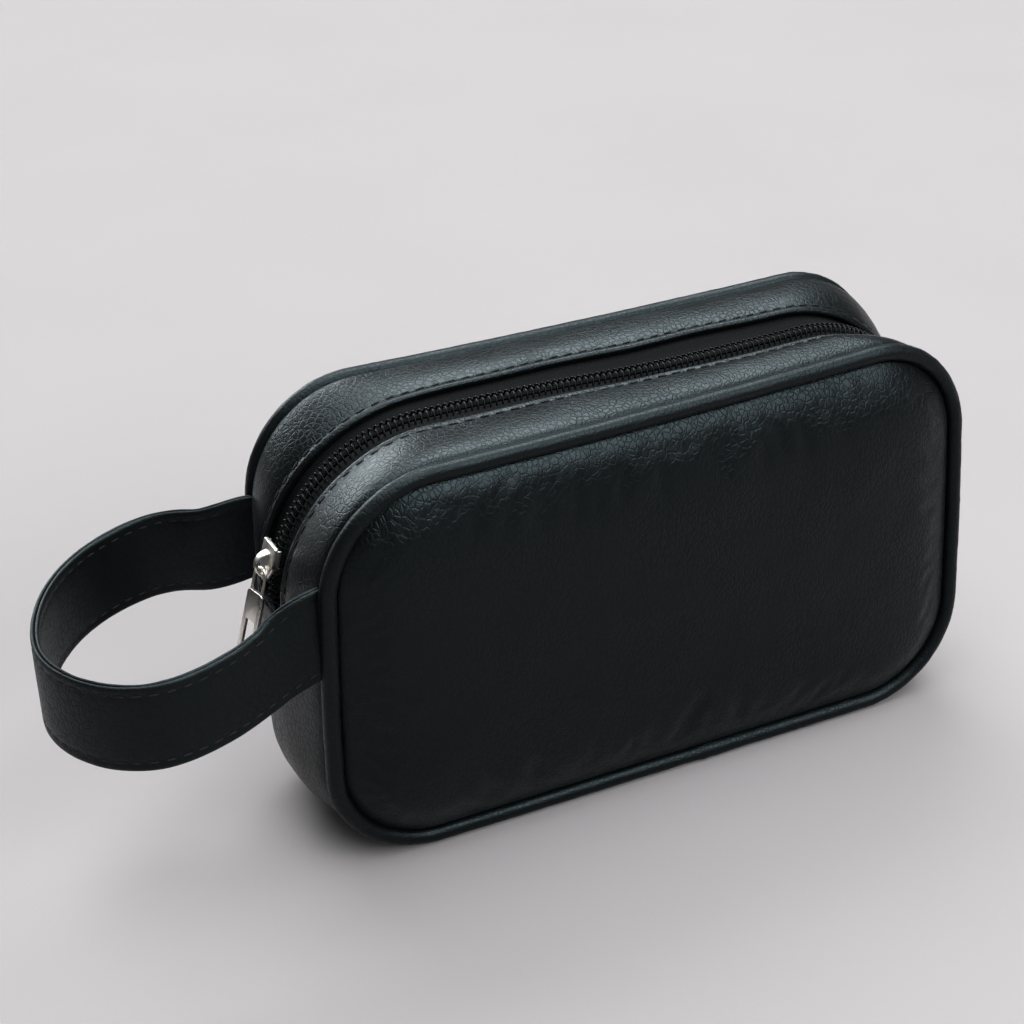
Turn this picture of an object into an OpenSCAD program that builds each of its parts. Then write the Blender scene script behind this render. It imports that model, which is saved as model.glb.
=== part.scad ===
// Small zip-round makeup bag: two padded panels piped to a gusset, a coil zip over the top
// and a wrist strap sewn into the left end. +Z is up, the front panel faces -Y, the strap is at -X,
// and the origin is the middle of the base. Millimetres.

/* [Bag] */
// Length from end to end over the gusset
bag_l = 190; // [180:1:200]
// Height over the gusset
bag_h = 113; // [108:1:118]
// Depth from front to back over the pipings
bag_d = 54; // [50:1:58]
// Corner radius at the panel's upper corners
top_r = 30; // [27:0.5:33]
// Corner radius at the panel's lower corners
bottom_r = 30; // [27:0.5:33]
// How far each padded panel swells
crown = 5; // [3:0.5:6]

/* [Materials] */
// Thickness of the leather
leather_t = 1; // [0.8:0.1:1.2]
// Thickness of the lining cloth
lining_t = 0.4; // [0.3:0.1:0.5]
// Diameter of the piping, covered
piping_d = 4.6; // [4.2:0.1:5]
// Diameter of the cord inside the piping
piping_cord_d = 2.8; // [2.4:0.1:3]

/* [Zip] */
// Radius that the zip follows round the upper corners
zip_r = 42; // [40:1:44]
// Height where the zip goes under the bottom gusset
zip_end_z = 68; // [67:0.5:69]
// Half of the gap between the two folded lips
lip_y = 6; // [5.5:0.25:7]
// Width of the closed chain
chain_w = 5.6; // [5.4:0.1:5.8]
// Height of the coil above its tape
coil_h = 2.2; // [2:0.1:2.4]
// Where the slider stands, in degrees up the left corner
slider_at = 15; // [13:1:18]

/* [Strap] */
// Width of the strap
strap_w = 23.5; // [22:0.5:25]
// Thickness of one ply of the strap
ply_t = 1.1; // [0.9:0.1:1.2]
// Height of the strap's middle where it is sewn in
strap_z = 74.5; // [73.5:0.5:75.5]
// How far the strap reaches out from the bag
strap_reach = 60.3; // [58:0.1:63]
// How far the strap sinks on its way out
strap_sag = 9.5; // [8:0.5:11]
// Spacing of the stitches
stitch_pitch = 3.9; // [3.5:0.1:4.5]

/* [Hidden] */
$fn = 64;

leather_colour = [0.07, 0.08, 0.085];
lining_colour = [0.12, 0.12, 0.13];
nickel_colour = [0.75, 0.73, 0.7];

half_l = bag_l / 2;
mid_z = bag_h / 2;
piping_r = piping_d / 2;
piping_inset = piping_r + 0.1;              // the piping stays just inside the gusset's outline
piping_y = bag_d / 2 - piping_r;
gusset_y = piping_y - piping_r;             // the gusset ends where the piping begins
panel_inset = piping_inset + piping_r + 0.05;
rim_y = piping_y + 0.4;                     // back of the leather at the panel's rim
lip_t = 2 * leather_t;                      // the lips are folded over
tape_t = 0.5;
tape_y = 13;                                // how far each tape runs under its lip
chain_gap = 0.5;                            // half of the slot that the slider's wedge runs in
lining_inset = 3;
zip_cx = half_l - zip_r;                    // centre of the zip's corners
zip_cz = bag_h - zip_r;
arc_steps = 10;

// Slider, in its own frame: X along the zip towards the closed chain, Z away from the bag
plate_z = [0.5, 1.5];
lower_plate_z = [-4.2, -3.3];
bail_w = 2.4;
bail_r = 3.7;
bail_t = 0.8;
bail_at = [-0.9, 0.7];
pivot_at = [-2.2, 2.3];
wire_r = 0.42;
ring_r = 2;
tab_w = 6;
tab_t = 1.2;
tab_top = 6.5;                              // the ring's legs end and the tab's plate begins
tab_window = [14.5, 23.5];
tab_end = 25;
window_w = 3.6;

// Strap: its loop swings about a line through both of its ends
strap_end_y = gusset_y - ply_t - 0.1;       // both ends are sewn in against the pipings
strap_pivot_x = -(half_l + strap_w / 2 + 0.5);
strap_tip_x = -(half_l + strap_reach);
sag_length = 12;                            // the strap drops fast near the bag and then levels out
curve_steps = 12;
strap_curves = [
    [[strap_pivot_x, -27], [-114, -29.2], [-122, -31.8], [-130, -31.9]],
    [[-130, -31.9], [-143, -32], [strap_tip_x, -19], [strap_tip_x, -6]],
    [[strap_tip_x, -6], [strap_tip_x, 6], [-143, 33], [-119, 35.8]],
    [[-119, 35.8], [-114.5, 36.3], [-110.8, 35.5], [strap_pivot_x, 33]]];
strap_steps = len(strap_curves) * curve_steps;
ply_gap = 0.05;                             // the plies meet without pressing into each other

// ---------- shared shapes ----------

// A closed solid through a list of rings that have the same number of points
module loft(rings) {
    n = len(rings[0]);
    last = (len(rings) - 1) * n;
    polyhedron(
        points = [for (ring = rings) for (p = ring) p],
        faces = concat(
            [[for (j = [0:n - 1]) j]],
            [for (i = [0:len(rings) - 2]) for (j = [0:n - 1])
                [i * n + (j + 1) % n, i * n + j, (i + 1) * n + j, (i + 1) * n + (j + 1) % n]],
            [[for (j = [n - 1:-1:0]) last + j]]),
        convexity = 6);
}

// A flat shape drawn in X and Z, as thick as from y0 to y1
module slab(y0, y1) {
    translate([0, y1, 0]) rotate([90, 0, 0]) linear_extrude(y1 - y0) children();
}

// The bag's rounded outline, set in from the outside by inset
module outline(inset) {
    half = half_l - inset;
    rt = top_r - inset;
    rb = bottom_r - inset;
    translate([-half, inset + rb]) square([2 * half, bag_h - 2 * inset - rt - rb]);
    translate([-half + rb, inset]) square([2 * (half - rb), mid_z - inset]);
    translate([-half + rt, mid_z]) square([2 * (half - rt), mid_z - inset]);
    for (side = [-1, 1]) {
        translate([side * (half - rb), inset + rb]) circle(rb);
        translate([side * (half - rt), bag_h - inset - rt]) circle(rt);
    }
}

module outline_ring(outer, inner) {
    difference() {
        outline(outer);
        outline(inner);
    }
}

function arc_points(cx, cz, r, start, steps) =
    [for (i = [0:steps]) [cx + r * cos(start + 90 * i / steps), cz + r * sin(start + 90 * i / steps)]];

// The same outline as a list of points
function outline_points(inset, steps = 8) =
    let (half = half_l - inset, rt = top_r - inset, rb = bottom_r - inset, high = bag_h - inset)
    concat(
        arc_points(half - rb, inset + rb, rb, 270, steps),
        arc_points(half - rt, high - rt, rt, 0, steps),
        arc_points(-half + rt, high - rt, rt, 90, steps),
        arc_points(-half + rb, inset + rb, rb, 180, steps));

// Rings of a swollen panel, from its rim towards its middle
dome_steps = [1, 0.985, 0.955, 0.91, 0.83, 0.7, 0.5, 0.2];
function dome(inset, y, rise) =
    [for (s = dome_steps) [for (p = outline_points(inset))
        [p[0] * s, -(y + rise * sqrt(1 - pow(s, 5))), mid_z + (p[1] - mid_z) * s]]];
function reversed(list) = [for (i = [len(list) - 1:-1:0]) list[i]];

// Corner radius across the gusset: tight at the piping, easy at the zip
function corner_r(y) =
    abs(y) <= lip_y ? zip_r : zip_r - (zip_r - top_r) * (abs(y) - lip_y) / (gusset_y - lip_y);

// The way over the bag's top, from the left end to the right, at depth y
function top_way(y, inset) =
    let (r = corner_r(y), cx = half_l - r, cz = bag_h - r)
    concat(
        [[-half_l + inset, zip_end_z]],
        reversed(arc_points(-cx, cz, r - inset, 90, arc_steps)),
        reversed(arc_points(cx, cz, r - inset, 0, arc_steps)),
        [[half_l - inset, zip_end_z]]);

// A strip that runs over the top: its profile is a list of [y, inset]
module top_strip(profile) {
    ways = [for (p = profile) top_way(p[0], p[1])];
    loft([for (i = [0:len(ways[0]) - 1])
        [for (k = [0:len(profile) - 1]) [ways[k][i][0], profile[k][0], ways[k][i][1]]]]);
}

// A true round sweep of a profile over the top, for what the slider runs on
module zip_sweep() {
    for (side = [0, 1]) mirror([side, 0, 0]) {
        translate([-zip_cx, 0, zip_cz]) rotate([90, 0, 0]) rotate([0, 0, 90])
            rotate_extrude(angle = 90) children();
        translate([-zip_cx, 0, zip_end_z]) mirror([1, 0, 0]) linear_extrude(zip_cz - zip_end_z)
            mirror([0, 1]) children();
    }
    translate([-zip_cx, 0, zip_cz]) rotate([90, 0, 90]) linear_extrude(2 * zip_cx)
        rotate(90) children();
}

// The profile that zip_sweep takes: radius across, depth up
module zip_profile(inset0, inset1, y0, y1) {
    translate([zip_r - inset1, -y1]) square([inset1 - inset0, y1 - y0]);
}

// Round tube along the piping's line, at depth y
module piping_sweep(y, r_out, r_in) {
    r_top = top_r - piping_inset;
    r_bottom = bottom_r - piping_inset;
    half = half_l - piping_inset;
    translate([0, y, 0]) {
        for (side = [0, 1]) mirror([side, 0, 0]) {
            translate([half - r_top, 0, bag_h - piping_inset - r_top]) quarter_ring(0, r_top, r_out, r_in);
            translate([half - r_bottom, 0, piping_inset + r_bottom]) quarter_ring(270, r_bottom, r_out, r_in);
            translate([half, 0, bottom_r]) linear_extrude(bag_h - top_r - bottom_r) tube_profile(r_out, r_in);
        }
        for (line = [[r_top, bag_h - piping_inset], [r_bottom, piping_inset]])
            translate([-half + line[0], 0, line[1]]) rotate([0, 90, 0])
                linear_extrude(2 * (half - line[0])) tube_profile(r_out, r_in);
    }
}

module tube_profile(r_out, r_in) {
    difference() {
        circle(r_out);
        if (r_in > 0) circle(r_in);
    }
}

module quarter_ring(start, r, r_out, r_in) {
    rotate([90, 0, 0]) rotate([0, 0, start]) rotate_extrude(angle = 90)
        translate([r, 0]) tube_profile(r_out, r_in);
}

// A place on the zip's left corner, in degrees up from level, with Z away from the bag
module on_zip(angle) {
    translate([-zip_cx, 0, zip_cz]) rotate([0, angle - 90, 0]) translate([0, 0, zip_r]) children();
}

// ---------- panels ----------

module panel() {
    outer = dome(panel_inset, rim_y + leather_t, crown);
    inner = dome(panel_inset, rim_y, crown);
    color(leather_colour) loft(concat(reversed(outer), inner));
}
module front_panel() { panel(); }
module back_panel() { mirror([0, 1, 0]) panel(); }

module foam() {
    bed = [for (p = outline_points(panel_inset + 1)) [p[0], -(rim_y - 0.9), p[1]]];
    color("dimgray") loft(concat([bed], dome(panel_inset + 1, rim_y - 0.4, crown)));
}
module front_foam() { foam(); }
module back_foam() { mirror([0, 1, 0]) foam(); }

module panel_lining() {
    color(lining_colour) slab(-(rim_y - 1), -(rim_y - 1 - lining_t)) outline(panel_inset + 1);
}
module front_lining() { panel_lining(); }
module back_lining() { mirror([0, 1, 0]) panel_lining(); }

// ---------- piping and seams ----------

module front_piping() { color(leather_colour) piping_sweep(-piping_y, piping_r, piping_cord_d / 2); }
module back_piping() { color(leather_colour) piping_sweep(piping_y, piping_r, piping_cord_d / 2); }
module front_piping_cord() { color("gray") piping_sweep(-piping_y, piping_cord_d / 2, 0); }
module back_piping_cord() { color("gray") piping_sweep(piping_y, piping_cord_d / 2, 0); }

// Tape folded over the raw edges of the seam, inside the bag
module seam_binding() {
    color(lining_colour) slab(-gusset_y, -(gusset_y - 2)) outline_ring(2.3, 7.2);
}
module front_seam_binding() { seam_binding(); }
module back_seam_binding() { mirror([0, 1, 0]) seam_binding(); }

// ---------- gusset ----------

module top_gusset() {
    color(leather_colour) top_strip([
        [-gusset_y, 0], [-gusset_y, leather_t], [-lip_y - 4, leather_t], [-lip_y - 3.5, lip_t],
        [-lip_y, lip_t], [-lip_y, 0]]);
}
module top_gusset_front() { top_gusset(); }
module top_gusset_back() { mirror([0, 1, 0]) top_gusset(); }

module below_zip() {
    intersection() {
        children();
        translate([-bag_l, -1]) square([2 * bag_l, zip_end_z + 1]);
    }
}
module bottom_gusset() {
    color(leather_colour) slab(-gusset_y, gusset_y) below_zip() outline_ring(0, leather_t);
}

module gusset_lining() {
    far = gusset_y - 2.2;
    near = lip_y + 1;
    color(lining_colour) top_strip([
        [-far, lining_inset - 1], [-far, lining_inset - 1 + lining_t],
        [-near, lining_inset + lining_t], [-near, lining_inset]]);
}
module gusset_lining_front() { gusset_lining(); }
module gusset_lining_back() { mirror([0, 1, 0]) gusset_lining(); }
module gusset_lining_bottom() {
    far = gusset_y - 2.2;
    color(lining_colour) slab(-far, far) below_zip() outline_ring(leather_t + 0.2, leather_t + 0.2 + lining_t);
}

// ---------- zip ----------

module zip_tape() {
    dip = lip_t + 0.05;                     // the tape dips a little beside the lip
    color("black") top_strip([
        [-tape_y, lip_t], [-tape_y, lip_t + tape_t], [-lip_y, dip + tape_t],
        [-chain_gap, lip_t + tape_t], [-chain_gap, lip_t], [-lip_y, dip]]);
}
module zip_tape_front() { zip_tape(); }
module zip_tape_back() { mirror([0, 1, 0]) zip_tape(); }

module zip_coil() {
    color("black") zip_sweep() zip_profile(lip_t - coil_h, lip_t, -chain_w / 2, -chain_gap);
}
module zip_coil_front() { zip_coil(); }
module zip_coil_back() { mirror([0, 1, 0]) zip_coil(); }

// Bar tacks across the chain at its two ends
module zip_end_stop() {
    color("black") for (side = [-1, 1])
        translate([side * (half_l + 0.45), 0, zip_end_z + 0.7]) cube([0.5, chain_w, 1.2], center = true);
}

// Stitches along a lip
module lip_stitches() {
    y = lip_y + 1.8;
    r = corner_r(y);
    cx = half_l - r;
    turn = stitch_pitch / r * 180 / PI;
    color("black") {
        for (side = [0, 1]) mirror([side, 0, 0]) for (a = [turn / 2:turn:90])
            translate([-cx, -y, bag_h - r]) rotate([0, a - 90, 0]) translate([0, 0, r]) stitch();
        for (x = [-cx + stitch_pitch / 2:stitch_pitch:cx]) translate([x, -y, bag_h]) stitch();
    }
}
module stitch() { cube([2.7, 0.5, 0.5], center = true); }
module lip_stitches_front() { lip_stitches(); }
module lip_stitches_back() { mirror([0, 1, 0]) lip_stitches(); }

// ---------- slider and pull tab ----------

module slider_outline() {
    polygon([[4.8, -3.7], [4.8, 3.7], [-1, 3.9], [-4.4, 1.9], [-5.3, 1], [-5.3, -1], [-4.4, -1.9], [-1, -3.9]]);
}
module slider_body() {
    color(nickel_colour) on_zip(slider_at) {
        for (plate = [plate_z, lower_plate_z])
            translate([0, 0, plate[0]]) linear_extrude(plate[1] - plate[0]) slider_outline();
        for (side = [-1, 1]) translate([-1, side * 3.525 - 0.375, -1.4]) cube([5.8, 0.75, 2]);
        translate([-4.4, -0.2, lower_plate_z[1] - 0.1]) cube([2, 0.4, plate_z[0] - lower_plate_z[1] + 0.2]);
    }
}
module slider_bail() {
    color(nickel_colour) on_zip(slider_at) rotate([90, 0, 0]) translate([0, 0, -bail_w / 2])
        linear_extrude(bail_w) intersection() {
            translate(bail_at) tube_profile(bail_r, bail_r - bail_t);
            translate([-6, plate_z[1] - 0.1]) square([10, 5]);
        }
}

module pull_tab() {
    color(nickel_colour) on_zip(slider_at) translate([pivot_at[0], 0, pivot_at[1]]) {
        translate([-ring_r, 0, 0]) rotate([0, 0, -90]) rotate_extrude(angle = 180)
            translate([ring_r, 0]) circle(wire_r);
        for (side = [-1, 1]) translate([-ring_r, side * ring_r, 0]) rotate([0, -90, 0])
            cylinder(r = wire_r, h = tab_top - ring_r + 0.5);
        translate([0, 0, -tab_t / 2]) linear_extrude(tab_t) difference() {
            union() {
                translate([-tab_end + 1, -tab_w / 2]) square([tab_end - tab_top - 1, tab_w]);
                translate([-tab_end, -tab_w / 2 + 1]) square([2, tab_w - 2]);
                for (side = [-1, 1]) translate([-tab_end + 1, side * (tab_w / 2 - 1)]) circle(1);
            }
            translate([-tab_window[1], -window_w / 2]) square([tab_window[1] - tab_window[0], window_w]);
        }
    }
}

// ---------- strap ----------

function sag(x) = strap_z - strap_sag * (1 - exp((x + half_l) / sag_length));
function bezier(c, t) =
    pow(1 - t, 3) * c[0] + 3 * t * pow(1 - t, 2) * c[1] + 3 * t * t * (1 - t) * c[2] + pow(t, 3) * c[3];
function strap_point(s) =
    let (k = min(floor(s), len(strap_curves) - 1), p = bezier(strap_curves[k], s - k))
    [p[0], p[1], sag(p[0])];
function unit(v) = v / norm(v);
function along(s) = unit(strap_point(min(s + 0.01, len(strap_curves))) - strap_point(max(s - 0.01, 0)));
function across(s) = let (t = along(s)) unit([0, 0, 1] - t[2] * t);

// One cross-section of the strap: a and b are distances inwards from its middle
function strap_ring(s, a, b, half_w = strap_w / 2, shift = 0) =
    let (p = strap_point(s) + shift * along(s), up = across(s) * half_w, inward = cross(along(s), across(s)))
    [p + up + inward * a, p + up + inward * b, p - up + inward * b, p - up + inward * a];

// The loop's ends are round, so that they swing clear of the bag
function round_end(s, direction, angles, a, b) =
    [for (t = angles) strap_ring(s, a, b, strap_w / 2 * sin(t), direction * strap_w / 2 * cos(t))];

module strap_ply(a, b) {
    angles = [12, 28, 44, 60, 76];
    color(leather_colour) loft(concat(
        round_end(0, -1, angles, a, b),
        [for (i = [0:strap_steps]) strap_ring(i / curve_steps, a, b)],
        round_end(len(strap_curves), 1, reversed(angles), a, b)));
}
module strap_outer() { strap_ply(-ply_t, -ply_gap); }
module strap_inner() { strap_ply(ply_gap, ply_t); }

// The strap's end in the seam
module strap_end() {
    color(leather_colour) translate([-half_l - 0.3, -strap_end_y - ply_t, strap_z - strap_w / 2])
        cube([8, 2 * ply_t, strap_w]);
}
module strap_end_front() { strap_end(); }
module strap_end_back() { mirror([0, 1, 0]) strap_end(); }

// Length of the strap's line up to each step, for even stitches
strap_line = [for (i = [0:strap_steps]) strap_point(i / curve_steps)];
function run_to(i) = i == 0 ? 0 : run_to(i - 1) + norm(strap_line[i] - strap_line[i - 1]);
strap_run = [for (i = [0:strap_steps]) [run_to(i), i / curve_steps]];

// A row of stitches along one edge of the strap, through both plies
module strap_stitches(edge) {
    color("black") for (d = [stitch_pitch / 2:stitch_pitch:run_to(strap_steps)]) {
        s = lookup(d, strap_run);
        t = along(s);
        translate(strap_point(s) + edge * (strap_w / 2 - 2.4) * across(s))
            rotate([0, -asin(t[2]), atan2(t[1], t[0])]) cube([2.7, 2 * ply_t + 0.4, 0.5], center = true);
    }
}
module strap_stitches_upper() { strap_stitches(1); }
module strap_stitches_lower() { strap_stitches(-1); }

front_panel();
back_panel();
front_foam();
back_foam();
front_lining();
back_lining();
front_piping();
back_piping();
front_piping_cord();
back_piping_cord();
front_seam_binding();
back_seam_binding();
top_gusset_front();
top_gusset_back();
bottom_gusset();
gusset_lining_front();
gusset_lining_back();
gusset_lining_bottom();
zip_tape_front();
zip_tape_back();
zip_coil_front();
zip_coil_back();
zip_end_stop();
lip_stitches_front();
lip_stitches_back();
slider_body();
slider_bail();
pull_tab();
strap_end_front();
strap_end_back();
strap_outer();
strap_inner();
strap_stitches_upper();
strap_stitches_lower();
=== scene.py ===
import math
import bmesh
import bpy
import numpy as np
from mathutils import Matrix, Vector, noise


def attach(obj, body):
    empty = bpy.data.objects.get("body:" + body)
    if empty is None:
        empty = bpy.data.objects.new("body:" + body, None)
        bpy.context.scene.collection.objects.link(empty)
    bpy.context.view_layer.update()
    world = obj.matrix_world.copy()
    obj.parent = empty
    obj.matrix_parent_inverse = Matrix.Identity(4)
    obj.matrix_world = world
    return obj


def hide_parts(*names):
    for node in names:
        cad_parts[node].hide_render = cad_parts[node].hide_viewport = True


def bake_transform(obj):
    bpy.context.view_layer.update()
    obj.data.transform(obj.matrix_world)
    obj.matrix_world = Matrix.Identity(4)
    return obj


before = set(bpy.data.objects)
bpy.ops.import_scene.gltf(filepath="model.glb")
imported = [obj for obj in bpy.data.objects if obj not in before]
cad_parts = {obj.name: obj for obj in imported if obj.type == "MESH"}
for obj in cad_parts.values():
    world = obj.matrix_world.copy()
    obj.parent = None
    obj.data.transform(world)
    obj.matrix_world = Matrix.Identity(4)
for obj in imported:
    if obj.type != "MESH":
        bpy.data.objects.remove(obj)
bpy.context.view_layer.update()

# Lengths are in millimetres until makeMesh turns them into metres.
# X runs along the bag, the front panel faces -Y and the strap is at -X.
bag = {
    "length": 190.0, "height": 113.0, "topRadius": 30.0, "bottomRadius": 30.0,
    "zipRadius": 42.0, "zipEnd": 68.0, "lip": 6.0, "gussetEdge": 22.4,
    "pipingY": 24.7, "pipingRadius": 2.3, "pipingInset": 2.4, "panelInset": 4.75,
}
half = bag["length"] / 2
scene = bpy.context.scene


# ---------- how the soft bag leans and sags ----------

slump = {
    "frontLean": (1.8, 1.6, 4.8),      # by length, by height, by both
    "backLean": (0.4, 2.6, 0.0),
    "frontSlide": 3.4, "backSlide": 5.2, "rightStretch": 1.8,
    "frontTilt": 2.5, "backTilt": 1.1, "backRise": 1.7,   # the top is higher at the left end
    "topSag": 1.4, "endBulge": 1.4,
    "heldTo": 4.0, "freeFrom": 21.0,   # the zip's line stays where the slider runs on it
    "cornerEnd": -56.0, "settledFrom": -5.0,
}


def ease(a, b, v):
    t = np.clip((np.asarray(v, dtype=float) - a) / (b - a), 0, 1)
    return t * t * (3 - 2 * t)


def settle(points):
    p = np.array(points, dtype=float).reshape(-1, 3)
    x, y, z = p[:, 0], p[:, 1], p[:, 2]
    along, up = 2 * x / bag["length"], 2 * z / bag["height"] - 1
    toSeam = ease(slump["heldTo"], slump["freeFrom"], abs(y))
    free = 1 - (1 - toSeam) * (1 - ease(slump["cornerEnd"], slump["settledFrom"], x))
    toBack = ease(-slump["freeFrom"], slump["freeFrom"], y)
    lean = [k[0] * along + k[1] * up + k[2] * along * up for k in (slump["frontLean"], slump["backLean"])]
    out = p.copy()
    out[:, 1] += toSeam * np.where(y < 0, lean[0], lean[1])
    slide = slump["frontSlide"] + (slump["backSlide"] - slump["frontSlide"]) * toBack
    slide = slide + slump["rightStretch"] * np.clip(along, 0, 1)
    out[:, 0] += free * slide + toSeam * slump["endBulge"] * np.clip(along, -1, 1) * (1 - up ** 2)
    out[:, 2] -= free * slump["topSag"] * np.clip(1 - along ** 2, 0, 1) * np.clip(up, 0, 1)
    tilt = slump["frontTilt"] + (slump["backTilt"] - slump["frontTilt"]) * toBack
    rise = slump["backRise"] * ease(0, slump["freeFrom"], y) - tilt * along
    out[:, 2] += free * rise * np.clip(z / bag["height"], 0, 1)
    out[:, 2] = np.maximum(out[:, 2], 0.03)
    return out


def cornerRadius(y):
    reach = (abs(y) - bag["lip"]) / (bag["gussetEdge"] - bag["lip"])
    return bag["zipRadius"] - (bag["zipRadius"] - bag["topRadius"]) * float(np.clip(reach, 0, 1))


# The way over the top from the left end to the right: x, z and the way out at each station
def overTop(y, inset, start=None, counts=(6, 34, 64)):
    r = cornerRadius(y)
    cx, cz = half - r, bag["height"] - r
    low = bag["zipEnd"] if start is None else start
    c0, c1, c2 = counts
    turn = [math.pi - math.pi / 2 * i / c1 for i in range(c1)]
    rows = [(-half, low + (cz - low) * i / c0, -1, 0) for i in range(c0)]
    rows += [(-cx + r * math.cos(a), cz + r * math.sin(a), math.cos(a), math.sin(a)) for a in turn]
    rows += [(-cx + 2 * cx * i / c2, bag["height"], 0, 1) for i in range(c2)]
    rows += [(cx - r * math.cos(a), cz + r * math.sin(a), -math.cos(a), math.sin(a))
             for a in (math.pi / 2 + math.pi / 2 * i / c1 for i in range(c1))]
    rows += [(half, cz + (low - cz) * i / c0, 1, 0) for i in range(c0 + 1)]
    rows = np.array(rows)
    return rows[:, :2] - rows[:, 2:] * np.reshape(inset, (-1, 1)), rows[:, 2:]


# The way under the bag; steps gives the heights of the stations up each end
def underBottom(steps, inset, counts=(30, 64)):
    r = bag["bottomRadius"]
    cx = half - r
    c1, c2 = counts
    rows = [(-half, z, -1, 0) for z in steps]
    rows += [(-cx - r * math.cos(a), r - r * math.sin(a), -math.cos(a), -math.sin(a))
             for a in (math.pi / 2 * i / c1 for i in range(c1))]
    rows += [(-cx + 2 * cx * i / c2, 0, 0, -1) for i in range(c2)]
    rows += [(cx + r * math.sin(a), r - r * math.cos(a), math.sin(a), -math.cos(a))
             for a in (math.pi / 2 * i / c1 for i in range(c1))]
    rows += [(half, z, 1, 0) for z in reversed(steps)]
    rows = np.array(rows)
    return rows[:, :2] - rows[:, 2:] * np.reshape(inset, (-1, 1)), rows[:, 2:]


# One quarter-to-quarter side of the rounded outline, evenly spaced: 0 top, 1 right, 2 bottom, 3 left
def outlineSide(side, inset, steps):
    rt, rb = bag["topRadius"] - inset, bag["bottomRadius"] - inset
    high, low, wide = bag["height"] - inset, inset, half - inset
    corners = [(-wide + rt, high - rt, rt, 135), (wide - rt, high - rt, rt, 45),
               (wide - rb, low + rb, rb, -45), (-wide + rb, low + rb, rb, -135)]
    a, b = corners[side], corners[(side + 1) % 4]
    fan = [math.radians(45 * i / 24) for i in range(25)]
    pts = [(a[0] + a[2] * math.cos(math.radians(a[3]) - t), a[1] + a[2] * math.sin(math.radians(a[3]) - t))
           for t in fan]
    pts += [(b[0] + b[2] * math.cos(math.radians(b[3]) + t), b[1] + b[2] * math.sin(math.radians(b[3]) + t))
            for t in reversed(fan)]
    pts = np.array(pts)
    run = np.concatenate([[0], np.cumsum(np.linalg.norm(np.diff(pts, axis=0), axis=1))])
    at = np.linspace(0, run[-1], steps + 1)
    return np.stack([np.interp(at, run, pts[:, 0]), np.interp(at, run, pts[:, 1])], axis=1)


# The whole outline as a closed ring of stations, with the way out at each
def outlineRing(inset, across=110, up=62):
    ring = np.concatenate([outlineSide(s, inset, n)[:-1] for s, n in enumerate((across, up, across, up))])
    ahead = np.roll(ring, -1, axis=0) - np.roll(ring, 1, axis=0)
    ahead /= np.linalg.norm(ahead, axis=1)[:, None]
    return ring, np.stack([-ahead[:, 1], ahead[:, 0]], axis=1)


# ---------- meshes ----------

def addObject(name, data):
    obj = bpy.data.objects.new(name, data)
    scene.collection.objects.link(obj)
    return obj


def makeMesh(name, points, faces, material, smooth=True, uv=None, outward=False):
    mesh = bpy.data.meshes.new(name)
    mesh.from_pydata((np.asarray(points) / 1000).tolist(), [], faces)
    if outward:
        bm = bmesh.new()
        bm.from_mesh(mesh)
        bmesh.ops.recalc_face_normals(bm, faces=bm.faces)
        bm.to_mesh(mesh)
        bm.free()
    if uv is not None:
        layer = mesh.uv_layers.new(name="weave")
        corners = np.empty(len(mesh.loops), dtype=np.int32)
        mesh.loops.foreach_get("vertex_index", corners)
        layer.data.foreach_set("uv", (np.asarray(uv)[corners] / 1000).ravel())
    mesh.materials.append(material)
    mesh.shade_smooth() if smooth else mesh.shade_flat()
    return addObject(name, mesh)


# Points and faces of the rings that make a tube or a strip
def ringMesh(name, rings, material, closed=False, uv=None):
    rings = np.asarray(rings)
    return makeMesh(name, settle(rings.reshape(-1, 3)), ringFaces(*rings.shape[:2], closed=closed), material,
                    uv=uv, outward=True)


# Faces of a tube or strip of rings; closed joins the last ring to the first
def ringFaces(rings, size, closed=False):
    faces = []
    for i in range(rings if closed else rings - 1):
        a, b = i * size, (i + 1) % rings * size
        faces += [[a + (j + 1) % size, a + j, b + j, b + (j + 1) % size] for j in range(size)]
    if not closed:
        faces += [list(range(size)), list(range(rings * size - 1, (rings - 1) * size - 1, -1))]
    return faces


def refine(obj, levels=1):
    sub = obj.modifiers.new("smooth", "SUBSURF")
    sub.levels = sub.render_levels = levels
    return keepShape(obj)


# Turns what the modifiers make into the object's own mesh
def keepShape(obj):
    graph = bpy.context.evaluated_depsgraph_get()
    mesh = bpy.data.meshes.new_from_object(obj.evaluated_get(graph), depsgraph=graph)
    obj.modifiers.clear()
    old = obj.data
    obj.data = mesh
    if isinstance(old, bpy.types.Mesh):
        bpy.data.meshes.remove(old)
    return obj


def place(obj, body, slotName, *nodes):
    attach(obj, body)
    if nodes:
        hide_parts(*nodes)
    return obj


def addNode(tree, kind, props=None, **inputs):
    made = tree.nodes.new(kind)
    for key, value in (props or {}).items():
        setattr(made, key, value)
    for key, value in inputs.items():
        numbered = key[0] == "i" and key[1:].isdigit()
        socket = made.inputs[int(key[1:]) if numbered else key.replace("_", " ")]
        if isinstance(value, bpy.types.NodeSocket):
            tree.links.new(value, socket)
        else:
            socket.default_value = value
    return made


# ---------- finishes ----------

def startMaterial(name, **settings):
    material = bpy.data.materials.new(name)
    material.use_nodes = True
    tree = material.node_tree
    shader = tree.nodes["Principled BSDF"]
    for key, value in settings.items():
        shader.inputs[key.replace("_", " ")].default_value = value
    return material, tree, shader


def calc(tree, operation, a, b=0.0):
    return addNode(tree, "ShaderNodeMath", {"operation": operation}, i0=a, i1=b).outputs[0]


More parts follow.
